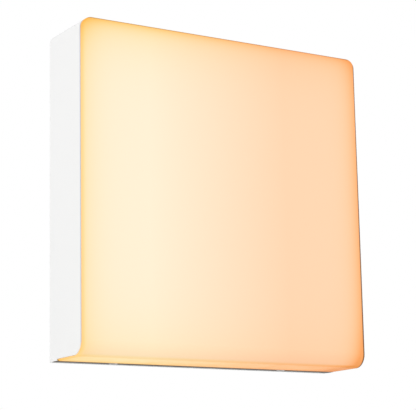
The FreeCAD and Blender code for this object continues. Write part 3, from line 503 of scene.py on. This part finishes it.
def solder_mask(name, colour, shade):
    """Lacquered circuit board with a faint fibre grain showing through."""
    s = Surface(name)
    fibres = s.math("MULTIPLY", s.ridges(0.7, "X"), s.ridges(0.7, "Z"))
    flow = s.noise(3.0, 3.0)
    s.set(Base_Color=s.blend(s.math("MULTIPLY", flow, 0.7), colour, shade))
    s.set(Roughness=s.between(flow, 0.25, 0.38))
    s.relief((fibres, 0.004), (flow, 0.01), rounding=0.15)
    return s


def ferrite(name):
    """Sintered ferrite: dull dark grey with light grains."""
    s = Surface(name)
    grains = s.cells(0.3)
    chipped = s.math("MULTIPLY", s.edges(0.35), s.span(s.noise(0.8), 0.45, 0.6))
    body = s.blend(grains, srgb(58, 58, 62), srgb(84, 84, 88))
    s.set(Base_Color=s.blend(s.math("MULTIPLY", chipped, 0.6), body, srgb(128, 128, 130)))
    s.set(Roughness=s.between(s.noise(1.0), 0.55, 0.75))
    s.relief((grains, 0.01), rounding=0.3)
    return s


def wound(name, colour, pitch, direction, metallic=0.0):
    """Tape or wire laid turn by turn."""
    s = Surface(name)
    turns = s.ridges(pitch, direction)
    s.set(Base_Color=s.blend(turns, tint(colour, 0.6), colour), Metallic=metallic)
    s.set(Roughness=s.between(s.noise(1.5), 0.3, 0.45))
    s.relief((turns, 0.08), (s.noise(0.4), 0.01), rounding=0.2)
    return s


def sleeved_can(name):
    """Aluminium can in a dark shrink sleeve that leaves the end bare."""
    s = Surface(name)
    end = s.span(s.split(s.place)[1], *CAN_END)
    brushed = s.noise(0.5, 3.0)
    s.set(Base_Color=s.blend(end, srgb(38, 42, 58), srgb(205, 206, 208)))
    s.set(Metallic=end)
    s.set(Roughness=s.between(brushed, 0.25, 0.4))
    s.relief((brushed, 0.008), rounding=0.2)
    return s


def insulation(name, colour, stripe=None):
    """Extruded lead insulation, slightly glossy, with faint die lines and an optional stripe."""
    s = Surface(name)
    drag = s.noise(0.6, 3.0, stretch=(3.0, 3.0, 0.35))
    body = s.blend(drag, tint(colour, 0.88), tint(colour, 1.1))
    if stripe:
        body = s.blend(s.span(s.split(s.normal())[1], *STRIPE_EDGE), body, stripe)
    s.set(Base_Color=body)
    s.set(Roughness=s.between(drag, 0.3, 0.42))
    s.relief((drag, 0.01))
    return s


def all_materials():
    """One material for each finish in the record."""
    return {
        "white_powder_coat": powder_coat,
        "opal_cover": opal,
        "led_phosphor": phosphor,
        "gasket_foam": lambda n: foam(n, srgb(62, 62, 66)),
        "black_rubber": lambda n: rubber(n, srgb(44, 44, 47)),
        "clear_silicone": silicone,
        "vent_plastic": lambda n: moulded(n, srgb(70, 70, 74)),
        "stainless": lambda n: metal(n, srgb(214, 213, 211)),
        "zinc_steel": spangled_zinc,
        "reflector_white": reflector_paint,
        "thermal_pad_grey": gap_pad,
        "board_white": lambda n: solder_mask(n, srgb(240, 240, 236), srgb(226, 228, 224)),
        "plug_white": lambda n: moulded(n, srgb(236, 235, 226), texture=0.3),
        "driver_shell": lambda n: moulded(n, srgb(226, 226, 220), texture=0.4, depth=0.03),
        "board_green": lambda n: solder_mask(n, srgb(30, 96, 52), srgb(18, 70, 40)),
        "ferrite": ferrite,
        "winding_tape": lambda n: wound(n, srgb(226, 186, 62), 3.0, "Z"),
        "can_aluminium": sleeved_can,
        "choke_copper": lambda n: wound(n, srgb(188, 104, 60), 0.8, "X", metallic=1.0),
        "chip_black": lambda n: moulded(n, srgb(38, 38, 41), texture=0.25, depth=0.015, rounding=0.12),
        "terminal_grey": lambda n: moulded(n, srgb(206, 208, 210)),
        "lever_grey": lambda n: moulded(n, srgb(104, 112, 122)),
        "contact_brass": lambda n: metal(n, srgb(226, 188, 104)),
        "insulation_brown": lambda n: insulation(n, srgb(104, 62, 36)),
        "insulation_blue": lambda n: insulation(n, srgb(44, 96, 176)),
        "insulation_earth": lambda n: insulation(n, srgb(72, 138, 52), srgb(226, 206, 60)),
        "insulation_red": lambda n: insulation(n, srgb(178, 36, 30)),
        "insulation_black": lambda n: insulation(n, srgb(40, 40, 42)),
        "tinned_copper": lambda n: metal(n, srgb(216, 212, 204), roughness=(0.25, 0.45)),
        "clamp_nylon": lambda n: moulded(n, srgb(56, 56, 60)),
    }


def dress_nodes():
    """Gives every CAD node the material of its slot, and returns the materials by slot."""
    made = {name: make(name).material for name, make in all_materials().items()}
    for part in frame["record"]["subparts"]:
        node = frame["nodes"][part["node"]]
        node.data.materials.clear()
        node.data.materials.append(made[part["material_slot"]])
    return made


# ---------------------------------------------------------------- fine pieces on the light board
LED_COLUMNS = 6
LED_ROWS = 6
CHIP_HALF = (2.5, 1.5)                 # half length and half width of one light source
LENS_R = 1.1
LENS_HIGH = 0.35                       # crown of the lens over its rim
LENS_SINK = 0.2                        # rim of the lens below the chip's face
LENS_RINGS = 4
LENS_SIDES = 20
SOLDER_HALF = 1.1
SOLDER_PROFILE = ((0.0, 0.0), (0.0, 0.5), (0.1, 0.26), (0.24, 0.12), (0.45, 0.04), (0.6, 0.0))


def chip_centres():
    """Middle of each light source, as x and z."""
    low, high = (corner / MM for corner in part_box("led_chips"))
    half_long, half_wide = CHIP_HALF
    step_x = (high.x - low.x - 2 * half_long) / (LED_COLUMNS - 1)
    step_z = (high.z - low.z - 2 * half_wide) / (LED_ROWS - 1)
    for column in range(LED_COLUMNS):
        for row in range(LED_ROWS):
            yield low.x + half_long + column * step_x, low.z + half_wide + row * step_z


def add_lens(shape, x, y, z):
    """A shallow dome facing -Y, with its rim at y."""
    angles = [math.tau * side / LENS_SIDES for side in range(LENS_SIDES)]
    rings = []
    for level in range(LENS_RINGS):
        turn = math.pi / 2 * level / LENS_RINGS
        radius, crown = LENS_R * math.cos(turn), LENS_HIGH * math.sin(turn)
        points = [Vector((x + radius * math.cos(a), y - crown, z + radius * math.sin(a))) for a in angles]
        rings.append([shape.verts.new(point * MM) for point in points])
    top = shape.verts.new(Vector((x, y - LENS_HIGH, z)) * MM)
    shape.faces.new(rings[0][::-1])
    for side in range(LENS_SIDES):
        after = (side + 1) % LENS_SIDES
        for inner, outer in zip(rings[1:], rings):
            shape.faces.new((outer[side], outer[after], inner[after], inner[side]))
        shape.faces.new((rings[-1][side], rings[-1][after], top))


def add_solder(shape, x, y, z, way):
    """A hollow-faced fillet of solder from the board at y up one end of a chip."""
    ends = []
    for end in (z - SOLDER_HALF, z + SOLDER_HALF):
        points = [Vector((x + way * (CHIP_HALF[0] + out), y - rise, end)) for out, rise in SOLDER_PROFILE]
        ends.append([shape.verts.new(point * MM) for point in points])
    shape.faces.new(ends[0])
    shape.faces.new(ends[1][::-1])
    for here in range(len(SOLDER_PROFILE)):
        after = (here + 1) % len(SOLDER_PROFILE)
        shape.faces.new((ends[0][here], ends[1][here], ends[1][after], ends[0][after]))


def add_piece(name, shape, slot, materials):
    """A smooth-shaded piece riding with the housing."""
    bmesh.ops.recalc_face_normals(shape, faces=shape.faces)
    mesh = bpy.data.meshes.new(name)
    shape.to_mesh(mesh)
    shape.free()
    mesh.shade_smooth()
    mesh.materials.append(materials[slot])
    piece = bpy.data.objects.new(name, mesh)
    bpy.context.scene.collection.objects.link(piece)
    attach(piece, "housing_body")


def make_board_details(materials):
    """A lens in each light source and solder up both of its ends."""
    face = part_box("led_chips")[0].y / MM
    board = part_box("led_board")[0].y / MM
    lenses = bmesh.new()
    solder = bmesh.new()
    for x, z in chip_centres():
        add_lens(lenses, x, face + LENS_SINK, z)
        for way in (-1, 1):
            add_solder(solder, x, board, z, way)
    add_piece("led_lenses", lenses, "led_phosphor", materials)
    add_piece("led_solder", solder, "tinned_copper", materials)


# ---------------------------------------------------------------- stage
def make_world():
    """Even white light round the horizon, dimmer overhead."""
    world = bpy.data.worlds.new("studio")
    bpy.context.scene.world = world
    world.use_nodes = True
    tree = world.node_tree
    direction = tree.nodes.new("ShaderNodeTexCoord").outputs["Generated"]
    split = tree.nodes.new("ShaderNodeSeparateXYZ")
    tree.links.new(direction, split.inputs[0])
    height = tree.nodes.new("ShaderNodeMapRange")
    height.interpolation_type = "SMOOTHSTEP"
    tree.links.new(split.outputs[2], height.inputs["Value"])
    height.inputs["From Min"].default_value = math.sin(SKY_DIMS_FROM)
    height.inputs["From Max"].default_value = math.sin(SKY_DIMS_TO)
    height.inputs["To Min"].default_value = SKY_SIDES
    height.inputs["To Max"].default_value = SKY_ABOVE
    tree.links.new(height.outputs[0], tree.nodes["Background"].inputs["Strength"])
    tree.nodes["Background"].inputs["Color"].default_value = (*WHITE, 1.0)


def floor_finish():
    """Pale and dull nearby, and as bright as the backdrop far away."""
    s = Surface("pale_floor")
    x, y, _ = s.split(s.place)
    away = s.math("SQRT", s.total(s.math("MULTIPLY", x, x), s.math("MULTIPLY", y, y)))
    far = s.span(away, FLOOR_NEAR / MM, FLOOR_FAR / MM)
    s.set(Base_Color=s.blend(far, FLOOR_COLOUR, BLACK))
    s.set(Emission_Color=s.blend(far, BLACK, WHITE), Emission_Strength=SKY_SIDES)
    s.set(Roughness=0.9, Specular_IOR_Level=0.1)
    return s


def make_floor():
    """A wide floor that fades into the white backdrop."""
    mesh = bpy.data.meshes.new("floor")
    shape = bmesh.new()
    bmesh.ops.create_circle(shape, cap_ends=True, radius=FLOOR_RADIUS, segments=FLOOR_SEGMENTS)
    shape.to_mesh(mesh)
    shape.free()
    mesh.materials.append(floor_finish().material)
    floor = bpy.data.objects.new("floor", mesh)
    floor.location.z = FLOOR_Z
    bpy.context.scene.collection.objects.link(floor)


def make_lamp(name, place, width, watts):
    """A soft square area light aimed at the object's middle."""
    data = bpy.data.lights.new(name, "AREA")
    data.size = width
    data.energy = watts
    lamp = bpy.data.objects.new(name, data)
    lamp.location = place
    aim = Vector((0.0, COVER_LOW.y * MM / 2, 0.0)) - lamp.location
    lamp.rotation_euler = aim.to_track_quat("-Z", "Y").to_euler()
    lamp.visible_camera = False
    bpy.context.scene.collection.objects.link(lamp)


def make_camera():
    """Looks from the left and below."""
    yaw, pitch, roll = CAMERA_YAW, CAMERA_PITCH, CAMERA_ROLL
    ahead = Vector((math.sin(yaw) * math.cos(pitch), math.cos(yaw) * math.cos(pitch), math.sin(pitch)))
    level = Vector((math.cos(yaw), -math.sin(yaw), 0.0))
    upright = level.cross(ahead)
    right = level * math.cos(roll) + upright * math.sin(roll)
    up = upright * math.cos(roll) - level * math.sin(roll)
    data = bpy.data.cameras.new("camera")
    data.sensor_width = SENSOR_WIDTH
    data.lens = LENS
    data.shift_x, data.shift_y = LENS_SHIFT
    camera = bpy.data.objects.new("camera", data)
    turn = Matrix((right, up, -ahead)).transposed()
    camera.matrix_world = Matrix.Translation(CAMERA_PLACE) @ turn.to_4x4()
    bpy.context.scene.collection.objects.link(camera)
    bpy.context.scene.camera = camera


bpy.context.scene.view_settings.view_transform = "Standard"
make_camera()
make_world()
make_floor()
for lamp_settings in LAMPS:
    make_lamp(*lamp_settings)
make_board_details(dress_nodes())
